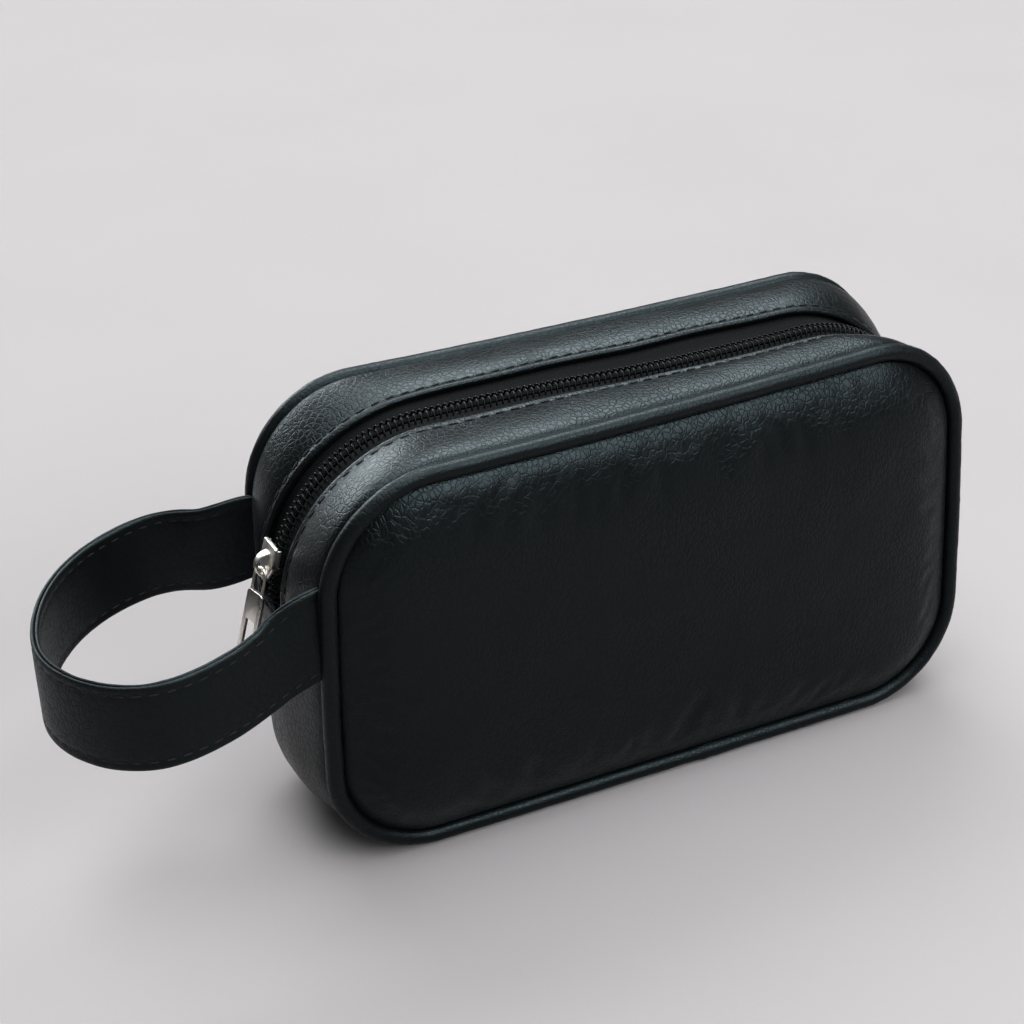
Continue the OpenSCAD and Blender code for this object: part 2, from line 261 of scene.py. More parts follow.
def remap(tree, value, low, high, toLow, toHigh):
    made = addNode(tree, "ShaderNodeMapRange", {"interpolation_type": "SMOOTHSTEP"}, Value=value,
                   From_Min=low, From_Max=high, To_Min=toLow, To_Max=toHigh)
    return made.outputs["Result"]


def tint(tree, factor, dark, light):
    made = addNode(tree, "ShaderNodeMix", {"data_type": "RGBA"}, i0=factor, i6=(*dark, 1), i7=(*light, 1))
    return made.outputs[2]


def addBump(tree, strength, distance, height):
    made = addNode(tree, "ShaderNodeBump", Strength=strength, Distance=distance, Height=height)
    return made.outputs[0]


def addNoise(tree, vector, scale, detail=2.0):
    return addNode(tree, "ShaderNodeTexNoise", Vector=vector, Scale=scale, Detail=detail).outputs["Fac"]


def objectPlace(tree):
    return addNode(tree, "ShaderNodeTexCoord").outputs["Object"]


def joinFinish(tree, shader, normal, colour, roughness):
    for value, label in ((normal, "Normal"), (colour, "Base Color"), (roughness, "Roughness")):
        tree.links.new(value, shader.inputs[label])


# dark is the colour in the grain's creases and light the colour on its cell tops; the darker creases are
# painted shade
leatherFinish = {
    "cell": 1.6, "relief": 0.22, "dark": (0.0022, 0.0026, 0.0029), "light": (0.0034, 0.0039, 0.0043),
    "roughness": (0.31, 0.42), "specular": 0.135, "sheen": 0.025, "sheenTint": (0.74, 0.94, 1.0),
    "wander": 0.0007, "stretch": (1.0, 1.0, 0.72), "bump": 0.36,
}


def makeLeather(name, grain=1.0, roughness=None):
    f = leatherFinish
    material, tree, shader = startMaterial(
        name, Specular_IOR_Level=f["specular"], Specular_Tint=(*f["sheenTint"], 1),
        Sheen_Weight=f["sheen"], Sheen_Roughness=0.35, Sheen_Tint=(*f["sheenTint"], 1))
    spot = objectPlace(tree)
    drift = addNode(tree, "ShaderNodeTexNoise", Vector=spot, Scale=230.0, Detail=2.0).outputs["Color"]
    drift = addNode(tree, "ShaderNodeVectorMath", {"operation": "MULTIPLY_ADD"},
                    i0=drift, i1=(f["wander"],) * 3, i2=spot).outputs[0]
    long = addNode(tree, "ShaderNodeMapping", Vector=drift, Scale=f["stretch"]).outputs[0]
    cells, small = [addNode(tree, "ShaderNodeTexVoronoi", {"feature": "DISTANCE_TO_EDGE"}, Vector=where,
                            Scale=scale / f["cell"]).outputs["Distance"]
                    for where, scale in ((long, 1000), (drift, 2600))]
    patch = addNoise(tree, spot, 42.0)
    crease = remap(tree, cells, 0.0, 0.16, 0.0, 1.0)
    height = calc(tree, "MULTIPLY", crease, remap(tree, patch, 0.36, 0.64, 0.45, 1.0))
    height = calc(tree, "ADD", height, calc(tree, "MULTIPLY", remap(tree, small, 0.0, 0.2, 0.0, 1.0), 0.16))
    height = calc(tree, "ADD", height, calc(tree, "MULTIPLY", addNoise(tree, spot, 5200.0, 1.0), 0.16))
    low, high = roughness or f["roughness"]
    gloss = calc(tree, "ADD", remap(tree, crease, 0.0, 1.0, high - low, 0.0),
                 remap(tree, patch, 0.3, 0.7, low, low + 0.05))
    # The colour runs from dark in the creases to light on the cell tops: painted shade in the grain's creases
    joinFinish(tree, shader, addBump(tree, f["bump"] * grain, f["relief"] / 1000, height),
               tint(tree, crease, f["dark"], f["light"]), gloss)
    return material


def makeThread(name):
    material, tree, shader = startMaterial(name, Specular_IOR_Level=0.15)
    spot = objectPlace(tree)
    strands = addNode(tree, "ShaderNodeTexWave", {"bands_direction": "DIAGONAL"}, Vector=spot,
                      Scale=900.0, Distortion=1.5).outputs["Fac"]
    fuzz = addNoise(tree, spot, 4000.0)
    height = calc(tree, "ADD", strands, calc(tree, "MULTIPLY", fuzz, 0.4))
    joinFinish(tree, shader, addBump(tree, 0.6, 0.00008, height),
               tint(tree, strands, (0.006, 0.007, 0.008), (0.014, 0.016, 0.018)),
               remap(tree, fuzz, 0.3, 0.7, 0.5, 0.7))
    return material


tapeWeave = {
    "rib": 0.62, "band": 2.1, "yarn": 0.42, "relief": 0.12,
    "dark": (0.0012, 0.0014, 0.0016), "light": (0.0052, 0.0060, 0.0066),
}


# Herringbone: ribs that turn back at every band
def makeWeave(name):
    w = tapeWeave
    material, tree, shader = startMaterial(name, Specular_IOR_Level=0.05)
    uv = addNode(tree, "ShaderNodeUVMap", {"uv_map": "weave"}).outputs[0]
    run, way = addNode(tree, "ShaderNodeSeparateXYZ", i0=uv).outputs[:2]
    zigzag = calc(tree, "ADD", run, calc(tree, "PINGPONG", way, w["band"] / 1000))
    ribs = calc(tree, "SINE", calc(tree, "MULTIPLY", zigzag, 2000 * math.pi / w["rib"]))
    yarn = calc(tree, "SINE", calc(tree, "MULTIPLY", way, 2000 * math.pi / w["yarn"]))
    fuzz = addNoise(tree, uv, 3000.0)
    height = calc(tree, "ADD", calc(tree, "ADD", ribs, calc(tree, "MULTIPLY", yarn, 0.35)), fuzz)
    colour = tint(tree, remap(tree, ribs, -1.0, 1.0, 0.0, 1.0), w["dark"], w["light"])
    joinFinish(tree, shader, addBump(tree, 0.7, w["relief"] / 1000, height), colour,
               remap(tree, fuzz, 0.3, 0.7, 0.62, 0.8))
    return material


def makeNylon(name):
    material, tree, shader = startMaterial(name, Specular_IOR_Level=0.06)
    marks = addNoise(tree, objectPlace(tree), 1500.0)
    joinFinish(tree, shader, addBump(tree, 0.15, 0.00005, marks),
               tint(tree, marks, (0.0022, 0.0026, 0.003), (0.004, 0.0047, 0.0052)),
               remap(tree, marks, 0.3, 0.7, 0.26, 0.38))
    return material


def makeNickel(name):
    material, tree, shader = startMaterial(name, Metallic=1.0)
    spot = objectPlace(tree)
    stretch = addNode(tree, "ShaderNodeMapping", Vector=spot, Scale=(1.0, 7.0, 1.0)).outputs[0]
    brush, cloud = addNoise(tree, stretch, 900.0, 3.0), addNoise(tree, spot, 260.0)
    joinFinish(tree, shader, addBump(tree, 0.12, 0.00003, brush),
               tint(tree, cloud, (0.66, 0.625, 0.57), (0.80, 0.765, 0.71)),
               calc(tree, "ADD", remap(tree, brush, 0.3, 0.7, 0.24, 0.34),
                    remap(tree, cloud, 0.3, 0.7, 0.0, 0.1)))
    return material


def makeCloth(name, dark, light):
    material, tree, shader = startMaterial(name, Specular_IOR_Level=0.3)
    x, y, z = addNode(tree, "ShaderNodeSeparateXYZ", i0=objectPlace(tree)).outputs[:3]
    warp, weft = [calc(tree, "SINE", calc(tree, "MULTIPLY", calc(tree, how, a, y), 14000.0))
                  for how, a in (("ADD", x), ("SUBTRACT", z))]
    weave = calc(tree, "MULTIPLY", warp, weft)
    joinFinish(tree, shader, addBump(tree, 0.5, 0.00008, weave),
               tint(tree, remap(tree, weave, -1.0, 1.0, 0.0, 1.0), dark, light),
               remap(tree, weave, -1.0, 1.0, 0.8, 0.65))
    return material


def makeFloor(name):
    material, tree, shader = startMaterial(name, Specular_IOR_Level=0.0)
    spot = objectPlace(tree)
    mottle, fine = addNoise(tree, spot, 9.0, 4.0), addNoise(tree, spot, 900.0)
    joinFinish(tree, shader, addBump(tree, 0.12, 0.0002, fine),
               tint(tree, mottle, (0.505, 0.491, 0.498), (0.540, 0.525, 0.533)),
               remap(tree, mottle, 0.3, 0.7, 0.6, 0.75))
    return material


pebbledLeather = makeLeather("pebbledLeather")
pipingLeather = makeLeather("pipingLeather", grain=0.75, roughness=(0.38, 0.48))
strapLeather = makeLeather("strapLeather", grain=0.8, roughness=(0.42, 0.52))
blackThread = makeThread("blackThread")
zipTape = makeWeave("zipTape")
coilNylon = makeNylon("coilNylon")
satinNickel = makeNickel("satinNickel")
liningCloth = makeCloth("liningCloth", (0.010, 0.010, 0.012), (0.030, 0.030, 0.034))
bindingCloth = makeCloth("bindingCloth", (0.006, 0.006, 0.007), (0.020, 0.020, 0.022))
print("finishes ready")


# ---------- padded panels ----------

panel = {
    "columns": 116, "rows": 68, "back": 24.15,
    "rimDepth": 24.6, "edgeRise": 4.8, "edgeReach": 5.5, "crownRise": 2.4, "crownReach": 18.0,
    "pressure": 4.0, "shrink": -0.012, "frames": 20, "cap": 0.5,
    "dimples": 0.2, "puckers": 0.3,
}


# A grid of quads that fills the rounded outline; gives x, z and the distance from the rim
def panelGrid(columns, rows):
    inset = bag["panelInset"] - 0.15
    sides = [outlineSide(s, inset, n) for s, n in enumerate((columns, rows, columns, rows))]
    mid = np.array([0, bag["height"] / 2])
    grid = np.zeros((rows + 1, columns + 1, 2))
    for j in range(rows + 1):
        for i in range(columns + 1):
            u, v = 2 * i / columns - 1, 2 * j / rows - 1
            m = max(abs(u), abs(v))
            if m == 0:
                grid[j, i] = mid
                continue
            if abs(v) >= abs(u):
                side, t = (0, (u / m + 1) / 2) if v > 0 else (2, (1 - u / m) / 2)
            else:
                side, t = (1, (1 - v / m) / 2) if u > 0 else (3, (v / m + 1) / 2)
            line, n = sides[side], (columns, rows)[side % 2]
            k = min(int(t * n), n - 1)
            rim = line[k] + (line[k + 1] - line[k]) * (t * n - k)
            scale = 1 - (1 - m) ** 1.22
            grid[j, i] = mid + (rim - mid) * scale
    flat = grid.reshape(-1, 2)
    r = bag["topRadius"] - inset
    q = abs(flat - mid) - np.array([half - inset - r, bag["height"] / 2 - inset - r])
    outside = np.linalg.norm(np.maximum(q, 0), axis=1) + np.minimum(q.max(axis=1), 0) - r
    return flat, -np.minimum(outside, 0)


def gridFaces(columns, rows):
    w = columns + 1
    return [[j * w + i, j * w + i + 1, (j + 1) * w + i + 1, (j + 1) * w + i]
            for j in range(rows) for i in range(columns)]


# A sheet's faces, the same again on its other side and the walls round its rim
def closeSheet(faces, n, m):
    w, count = n + 1, (n + 1) * (m + 1)
    rim = ([i for i in range(n)] + [j * w + n for j in range(m)]
           + [m * w + i for i in range(n, 0, -1)] + [j * w for j in range(m, 0, -1)])
    walls = [[a, b, b + count, a + count] for a, b in zip(rim, rim[1:] + rim[:1])]
    return faces + [[v + count for v in f[::-1]] for f in faces] + walls


# Lets air pressure push the domed sheet out against its sewn rim
def inflate(points, faces, rimDistance):
    obj = makeMesh("panelCloth", points, faces, pebbledLeather)
    group = obj.vertex_groups.new(name="sewn")
    hold = 1 - ease(2.0, 9.0, rimDistance)
    for i, w in enumerate(hold):
        if w > 0:
            group.add([i], float(w), "REPLACE")
    cloth = obj.modifiers.new("cloth", "CLOTH")
    s = cloth.settings
    s.quality, s.mass, s.air_damping = 6, 0.25, 2.0
    s.tension_stiffness = s.compression_stiffness = 12.0
    s.shear_stiffness, s.bending_stiffness = 6.0, 1.2
    s.use_pressure, s.uniform_pressure_force = True, panel["pressure"]
    s.effector_weights.gravity = 0.0
    s.vertex_group_mass = "sewn"
    s.shrink_min = panel["shrink"]
    cloth.point_cache.frame_start, cloth.point_cache.frame_end = 1, panel["frames"]
    for number in range(1, panel["frames"] + 1):
        scene.frame_set(number)
    graph = bpy.context.evaluated_depsgraph_get()
    moved = obj.evaluated_get(graph).data
    co = np.empty(len(moved.vertices) * 3)
    moved.vertices.foreach_get("co", co)
    shift = co.reshape(-1, 3) * 1000 - points
    size = np.linalg.norm(shift, axis=1)
    print("panel pressed out by up to", round(float(size.max()), 2), "mm")
    shift *= (np.minimum(size, panel["cap"]) / np.maximum(size, 1e-9))[:, None]
    bpy.data.objects.remove(obj)
    scene.frame_set(1)
    return points + shift


def makePanel(name, side):
    n, m = panel["columns"], panel["rows"]
    flat, rimDistance = panelGrid(n, m)
    depth = (panel["rimDepth"] + panel["edgeRise"] * (1 - np.exp(-rimDistance / panel["edgeReach"]))
             + panel["crownRise"] * (1 - np.exp(-rimDistance / panel["crownReach"])))
    seed = 3.1 if side < 0 else 8.4
    soft = np.array([noise.noise(Vector((x / 24, seed, z / 17)))
                     + 0.5 * noise.noise(Vector((x / 9, seed + 5, z / 9))) for x, z in flat])
    pucker = np.exp(-((rimDistance - 3.5) / 2.5) ** 2)
    fold = np.array([noise.noise(Vector((x / 4.5, seed + 2, z / 4.5))) for x, z in flat])
    depth = depth + panel["dimples"] * soft * ease(1.0, 12.0, rimDistance) + panel["puckers"] * fold * pucker
    points = np.stack([flat[:, 0], side * depth, flat[:, 1]], axis=1)
    faces = gridFaces(n, m)
    if side > 0:
        faces = [f[::-1] for f in faces]
    points = inflate(points, faces, rimDistance)
    inner = np.stack([flat[:, 0], np.full(len(points), side * panel["back"]), flat[:, 1]], axis=1)
    return refine(makeMesh(name, settle(np.concatenate([points, inner])), closeSheet(faces, n, m),
                           pebbledLeather, outward=True))


for panelName, panelSide, end in (("frontPanel", -1, "front"), ("backPanel", 1, "back")):
    pad = makePanel(panelName, panelSide)
    place(pad, "bag", "leather", end + "_panel", end + "_foam")
print("panels done")


# ---------- piping ----------

# The piping's two ends lap over each other under the bag, at x = lap
piping = {"segments": 20, "wrinkle": 0.10, "lap": (12.0, 26.0), "lapRise": 0.28, "lapBelow": 20}


def makePiping(name, side):
    ring, out = outlineRing(bag["pipingInset"])
    count = piping["segments"]
    points = []
    for k, ((x, z), (nx, nz)) in enumerate(zip(ring, out)):
        edge = piping["lap"][0]
        lap = float(ease(edge - 0.5, edge + 0.2, x) * (1 - ease(*piping["lap"], x)))
        lap = lap if z < piping["lapBelow"] else 0
        bent = 1 - abs(nx) if 0.05 < abs(nx) < 0.98 else 0
        for j in range(count):
            a = 2 * math.pi * j / count
            c, s = math.cos(a), math.sin(a)
            w = noise.noise(Vector((x / 2.6, side * 40 + 3 * c, z / 2.6 + 2 * s)))
            w += 0.6 * noise.noise(Vector((x / 9, side * 17 + c, z / 9)))
            r = bag["pipingRadius"] - 0.12 + piping["wrinkle"] * (1 + bent) * w + piping["lapRise"] * lap
            points.append((x + nx * r * c, side * bag["pipingY"] + r * s, z + nz * r * c))
    return ringMesh(name, np.reshape(points, (-1, count, 3)), pipingLeather, closed=True)


place(makePiping("frontPiping", -1), "bag", "leather", "front_piping", "front_piping_cord")
place(makePiping("backPiping", 1), "bag", "leather", "back_piping", "back_piping_cord")
print("piping done")


# ---------- gusset ----------

# Profiles run over the strip: distance from the middle, depth below the outline, share of the lip's waver
lipProfile = [
    (23.0, 3.4, 0), (22.9, 2.4, 0), (22.4, 1.5, 0), (21.7, 0.95, 0), (20.8, 0.55, 0), (19.5, 0.15, 0),
    (17.5, -0.15, 0), (15.0, -0.32, 0.1), (12.5, -0.36, 0.35), (10.6, -0.22, 0.7), (9.4, -0.08, 0.9),
    (8.6, 0.10, 1), (8.1, 0.28, 1), (7.7, 0.26, 1), (7.2, 0.06, 1), (6.7, -0.06, 1), (6.25, 0.06, 1),
    (5.98, 0.40, 1), (5.92, 0.85, 1), (6.0, 1.35, 1), (6.3, 1.72, 1), (6.9, 1.85, 1), (9.4, 1.86, 0.9),
    (15.0, 1.5, 0.1), (20.8, 2.6, 0),
]
lipStart = 66.5      # height at which the lips begin, under the turned ends of the bottom gusset
waver = {"lipFront": 0.9, "lipBack": 2.6, "chain": -1.3, "spread": 0.20, "open": 0.35}


# Where a station lies from 0 at the left end to 1 at the right
def fractions(count):
    return np.linspace(0, 1, count)


def lipShift(side, f):
    bow = np.exp(-((f - 0.5) / 0.3) ** 2)
    ripple = 0.3 * np.sin(f * 19 + side) + 0.18 * np.sin(f * 41 + 2 * side)
    away = waver["open"] + waver["lipBack" if side > 0 else "lipFront"] * bow
    return side * away + ripple * ease(0.12, 0.25, f)


def chainShift(f):
    drift = waver["chain"] * np.exp(-((f - 0.52) / waver["spread"]) ** 2)
    drift = drift + 0.5 * np.exp(-((f - 0.78) / 0.06) ** 2)
    return drift * ease(0.42, 0.56, f)      # the chain stays in its place as far as the slider runs


# A profile carried along a route; shift moves each station across the bag by the profile's share
def stripPoints(profile, side, route, shift=None):
    rings = []
    for y, inset, share in profile:
        xz, _ = route(side * y, inset)
        deep = np.full(len(xz), side * y)
        if shift is not None:
            deep = deep + share * shift(fractions(len(xz)))
        rings.append(np.stack([xz[:, 0], deep, xz[:, 1]], axis=1))
    return np.stack(rings, axis=1)


def makeTopGusset(name, side):
    rings = stripPoints(lipProfile, side, lambda y, inset: overTop(y, inset, start=lipStart),
                        lambda f: lipShift(side, f))
    rings[:, :, 2] += np.array([[0.12 * noise.noise(Vector((p[0] / 12, p[1] / 12, p[2] / 12 + side * 9)))
                                 for p in ring] for ring in rings])
    return ringMesh(name, rings, pebbledLeather)


place(makeTopGusset("topGussetFront", -1), "bag", "leather", "top_gusset_front")
place(makeTopGusset("topGussetBack", 1), "bag", "leather", "top_gusset_back")

# Heights of the stations up each end, how far the strip stands out there, and its section
bottomStrip = {
    "ends": [69.1, 69.05, 68.7, 68.1, 67.2, 66.3, 65.5, 64.8, 63.5, 61.0, 57.0, 52.0, 46.0, 40.0, 34.0],
    "lift": [-1.0, -0.35, 0.05, 0.22, 0.30, 0.26, 0.12, 0.22, 0.22, 0.15, 0.06, 0, 0, 0, 0],
    "outer": [(23.0, 3.4), (22.9, 2.4), (22.4, 1.5), (21.7, 0.95), (20.8, 0.55), (19.5, 0.15), (17.5, -0.12),
              (15.0, -0.25), (11.0, -0.3), (7.0, -0.3), (3.5, -0.3), (0.0, -0.3)],
    "inner": [(20.0, 1.9), (8.0, 0.9)],
    "buckle": 0.35,
}


def makeBottomGusset(name):
    outer, inner = bottomStrip["outer"], bottomStrip["inner"]
    across = [(-y, d) for y, d in outer] + outer[-2::-1] + inner + [(-y, d) for y, d in reversed(inner)]
    steps, lift = bottomStrip["ends"], bottomStrip["lift"]
    rings = []
    for y, inset in across:
        xz, out = underBottom(steps, inset)
        raised = np.zeros(len(xz))
        raised[:len(lift)] = lift
        raised[-len(lift):] = lift[::-1]
        xz = xz + out * raised[:, None]
        rings.append(np.stack([xz[:, 0], np.full(len(xz), y), xz[:, 1]], axis=1))
    rings = np.stack(rings, axis=1)
    wave = np.array([[noise.noise(Vector((p[0] / 14, p[1] / 11, p[2] / 14))) for p in ring]
                     for ring in rings])
    x = rings[:, :, 0]
    x += bottomStrip["buckle"] * wave * np.sign(x) * ease(60, 90, abs(x))
    return ringMesh(name, rings, pebbledLeather)


place(makeBottomGusset("bottomGusset"), "bag", "leather", "bottom_gusset")
print("gusset done")


# ---------- what repeats along a path ----------

# A tree that sets one small solid at every pitch along a path; the path's points carry its two directions
def startRow(name, sizes):
    tree = bpy.data.node_groups.new(name, "GeometryNodeTree")
    tree.interface.new_socket("Path", in_out="INPUT", socket_type="NodeSocketGeometry")
    for label, kind, value in sizes:
        made = tree.interface.new_socket(label, in_out="INPUT", socket_type=kind)
        if value is not None:
            made.default_value = value
    tree.interface.new_socket("Finish", in_out="INPUT", socket_type="NodeSocketMaterial")
    tree.interface.new_socket("Row", in_out="OUTPUT", socket_type="NodeSocketGeometry")
    return tree, tree.nodes.new("NodeGroupInput"), tree.nodes.new("NodeGroupOutput")


def finishRow(tree, inputs, outputs, solid):
    line = addNode(tree, "GeometryNodeMeshToCurve", Mesh=inputs.outputs["Path"])
    even = addNode(tree, "GeometryNodeResampleCurve", {"mode": "LENGTH"}, Curve=line.outputs[0],
                   Length=inputs.outputs["Pitch"])
    ways = [addNode(tree, "GeometryNodeInputNamedAttribute", {"data_type": "FLOAT_VECTOR"}, Name=n).outputs[0]
            for n in ("outward", "ahead")]
    turn = addNode(tree, "FunctionNodeAxesToRotation", {"primary_axis": "Z", "secondary_axis": "X"},
                   i0=ways[0], i1=ways[1])
    placed = addNode(tree, "GeometryNodeInstanceOnPoints", Points=even.outputs[0], Instance=solid,
                     Rotation=turn.outputs[0])
    real = addNode(tree, "GeometryNodeRealizeInstances", Geometry=placed.outputs[0])
    final = addNode(tree, "GeometryNodeSetMaterial", Geometry=real.outputs[0],
                    Material=inputs.outputs["Finish"])
    smooth = addNode(tree, "GeometryNodeSetShadeSmooth", Geometry=final.outputs[0])
    tree.links.new(smooth.outputs[0], outputs.inputs["Row"])
    return tree


def stitchTree():
    tree, inputs, outputs = startRow("stitchRow", [
        ("Pitch", "NodeSocketFloat", 0.0039), ("Size", "NodeSocketVector", (0.0027, 0.0005, 0.0005)),
        ("Lean", "NodeSocketVector", (0.0, 0.0, 0.0))])
    block = addNode(tree, "GeometryNodeMeshCube", Size=inputs.outputs["Size"])
    pill = addNode(tree, "GeometryNodeSubdivisionSurface", Mesh=block.outputs[0], Level=2)
    leaned = addNode(tree, "GeometryNodeTransform", Geometry=pill.outputs[0], Rotation=inputs.outputs["Lean"])
    return finishRow(tree, inputs, outputs, leaned.outputs[0])


def toothTree():
    tree, inputs, outputs = startRow("coilRow", [
        ("Pitch", "NodeSocketFloat", 0.0017), ("Root", "NodeSocketVector", None),
        ("Bend", "NodeSocketVector", None), ("Tip", "NodeSocketVector", None),
        ("Wire", "NodeSocketFloat", 0.0004)])
    arch = addNode(tree, "GeometryNodeCurveQuadraticBezier", Resolution=7, Start=inputs.outputs["Root"],
                   Middle=inputs.outputs["Bend"], End=inputs.outputs["Tip"])
    wire = addNode(tree, "GeometryNodeCurvePrimitiveCircle", {"mode": "RADIUS"}, Resolution=8,
                   Radius=inputs.outputs["Wire"])
    solid = addNode(tree, "GeometryNodeCurveToMesh", Curve=arch.outputs[0], i1=wire.outputs[0])
    solid.inputs["Fill Caps"].default_value = True
    return finishRow(tree, inputs, outputs, solid.outputs[0])


rowTrees = {"stitch": stitchTree(), "tooth": toothTree()}


# Lays a row along points; outward is the way up at each point
def layRow(name, kind, points, outward, finish, **sizes):
    points, outward = np.asarray(points, dtype=float), np.asarray(outward, dtype=float)
    path = bpy.data.meshes.new(name)
    path.from_pydata((points / 1000).tolist(), [(i, i + 1) for i in range(len(points) - 1)], [])
    for label, values in (("outward", outward), ("ahead", np.gradient(points, axis=0))):
        path.attributes.new(label, "FLOAT_VECTOR", "POINT").data.foreach_set("vector", values.ravel())
    obj = addObject(name, path)
    modifier = obj.modifiers.new("row", "NODES")
    modifier.node_group = rowTrees[kind]
    sockets = {s.name: s.identifier for s in rowTrees[kind].interface.items_tree if s.in_out == "INPUT"}
    modifier[sockets["Finish"]] = finish
    for label, value in sizes.items():
        modifier[sockets[label]] = value
    return keepShape(obj)


# The pieces of several rows as one object
def joinRows(name, rows, finish):
    bm = bmesh.new()
    for row in rows:
        bm.from_mesh(row.data)
    mesh = bpy.data.meshes.new(name)
    bm.to_mesh(mesh)
    bm.free()
    mesh.materials.append(finish)
    mesh.polygons.foreach_set("material_index", [0] * len(mesh.polygons))
    for row in rows:
        bpy.data.objects.remove(row)
    return addObject(name, mesh)


# ---------- zip ----------

chain = {
    "pitch": 1.7, "wire": 0.29, "depth": 0.75, "start": 67.5,
    "tapeStart": 66.8, "tapeEdge": 13.0, "tapeTop": 2.05, "tapeUnder": 2.5,
    "root": (0.2, 0.32, 0.2), "bend": (-0.1, 1.75, 0.75), "tip": (-0.42, 2.35, -1.2),
}


# A line over the top that wanders across the bag by shift, and the way out along it
def wanderLine(route, shift):
    xz, out = route
    f = fractions(len(xz))
    points = np.stack([xz[:, 0], shift(f), xz[:, 1]], axis=1)
    return settle(points), np.stack([out[:, 0], np.zeros(len(f)), out[:, 1]], axis=1)


def makeTape(name, side):
    edges = [0.45, 1.6, 2.9, 4.0, 5.2, 6.4, 8.0, 10.5, chain["tapeEdge"]]
    drop = [0.25, 0.1, 0.0, 0.05, 0.1, 0.1, 0.02, 0.0, 0.0]
    profile = [(y, chain["tapeTop"] + d, 1 - float(ease(7, 13, y))) for y, d in zip(edges, drop)]
    profile += [(y, chain["tapeUnder"], w) for y, _, w in reversed(profile)]
    rings = stripPoints(profile, side, lambda y, inset: overTop(0, inset, start=chain["tapeStart"]),
                        chainShift)
    count, size = rings.shape[:2]
    run = np.concatenate([[0], np.cumsum(np.linalg.norm(np.diff(rings[:, 0], axis=0), axis=1))])
    uv = np.stack([np.repeat(run, size), np.tile([row[0] for row in profile], count)], axis=1)
    return ringMesh(name, rings, zipTape, uv=uv)


place(makeTape("zipTapeFront", -1), "bag", "zip_tape", "zip_tape_front")
place(makeTape("zipTapeBack", 1), "bag", "zip_tape", "zip_tape_back")


def makeCoil(name, side):
    line, ways = wanderLine(overTop(0, chain["depth"], start=chain["start"], counts=(8, 60, 100)), chainShift)
    start = 0 if side < 0 else chain["pitch"] / 2000       # the rows interlock half a pitch apart
    turned = [(x / 1000 + start, side * y / 1000, z / 1000)
              for x, y, z in (chain["root"], chain["bend"], chain["tip"])]
    return layRow(name, "tooth", line, ways, coilNylon, Pitch=chain["pitch"] / 1000,
                  Wire=chain["wire"] / 1000, Root=turned[0], Bend=turned[1], Tip=turned[2])


place(makeCoil("zipCoilFront", -1), "bag", "zip_coil", "zip_coil_front")
place(makeCoil("zipCoilBack", 1), "bag", "zip_coil", "zip_coil_back")

topstitch = {
    "y": 7.9, "depth": 0.12, "start": 69.5, "pitch": 0.0042, "size": (0.0031, 0.00062, 0.0005), "lean": 0.1,
}
for end, side in (("Front", -1), ("Back", 1)):
    y = side * topstitch["y"]
    route = overTop(y, topstitch["depth"], start=topstitch["start"])
    seam, ways = wanderLine(route, lambda f: y + lipShift(side, f))
    stitches = layRow("lipStitches" + end, "stitch", seam, ways, blackThread, Pitch=topstitch["pitch"],
                      Size=topstitch["size"], Lean=(0.0, 0.0, topstitch["lean"] * side))
    place(stitches, "bag", "thread", "lip_stitches_" + end.lower())

tack = {"wide": 2.6, "out": -0.25, "height": 69.75}
tacks = []
for end in (-1, 1):
    x, wide = end * (half + tack["out"]), tack["wide"]
    line = [(x, y, tack["height"]) for y in np.linspace(-wide, wide, 9)]
    tacks.append(layRow("tack", "stitch", line, [(end, 0, 0)] * 9, blackThread, Pitch=0.00045,
                        Size=(0.0007, 0.0012, 0.0006), Lean=(0.0, 0.0, 0.25)))
place(joinRows("zipEndTacks", tacks, blackThread), "bag", "thread", "zip_end_stop")
print("zip done")


# ---------- slider and pull ----------

slider = {
    "at": 15.0, "plate": (0.5, 1.5), "lowerPlate": (-4.2, -3.3),
    "bailWide": (2.5, 1.7), "bailThick": 0.75, "bailRadius": 3.3, "bailCentre": (-0.9, 0.7),
    "pivot": (-2.2, 2.3), "wire": 0.42, "twist": 17.0, "ring": 2.0,
    "tabWide": 6.0, "tabThick": 1.15, "tabTop": 6.5, "tabEnd": 25.0, "window": (14.5, 23.4, 3.5),
}


# From the slider's own frame (along the zip, across, away from the bag) to the bag's
def onZip(points):
    p = np.asarray(points, dtype=float).reshape(-1, 3)
    a = math.radians(slider["at"] - 90)
    n = p[:, 2] + bag["zipRadius"]
    return np.stack([-(half - bag["zipRadius"]) + math.cos(a) * p[:, 0] + math.sin(a) * n, p[:, 1],
                     bag["height"] - bag["zipRadius"] - math.sin(a) * p[:, 0] + math.cos(a) * n], axis=1)


def roundCorners(corners, r, steps=4):
    pts = [np.array(c, dtype=float) for c in corners]
    loop = []
    for i, c in enumerate(pts):
        a, b = pts[i - 1] - c, pts[(i + 1) % len(pts)] - c
        reach = min(r, 0.45 * np.linalg.norm(a), 0.45 * np.linalg.norm(b))
        p, q = c + a / np.linalg.norm(a) * reach, c + b / np.linalg.norm(b) * reach
        loop += [(1 - t) ** 2 * p + 2 * t * (1 - t) * c + t * t * q for t in np.linspace(0, 1, steps + 1)]
    return loop


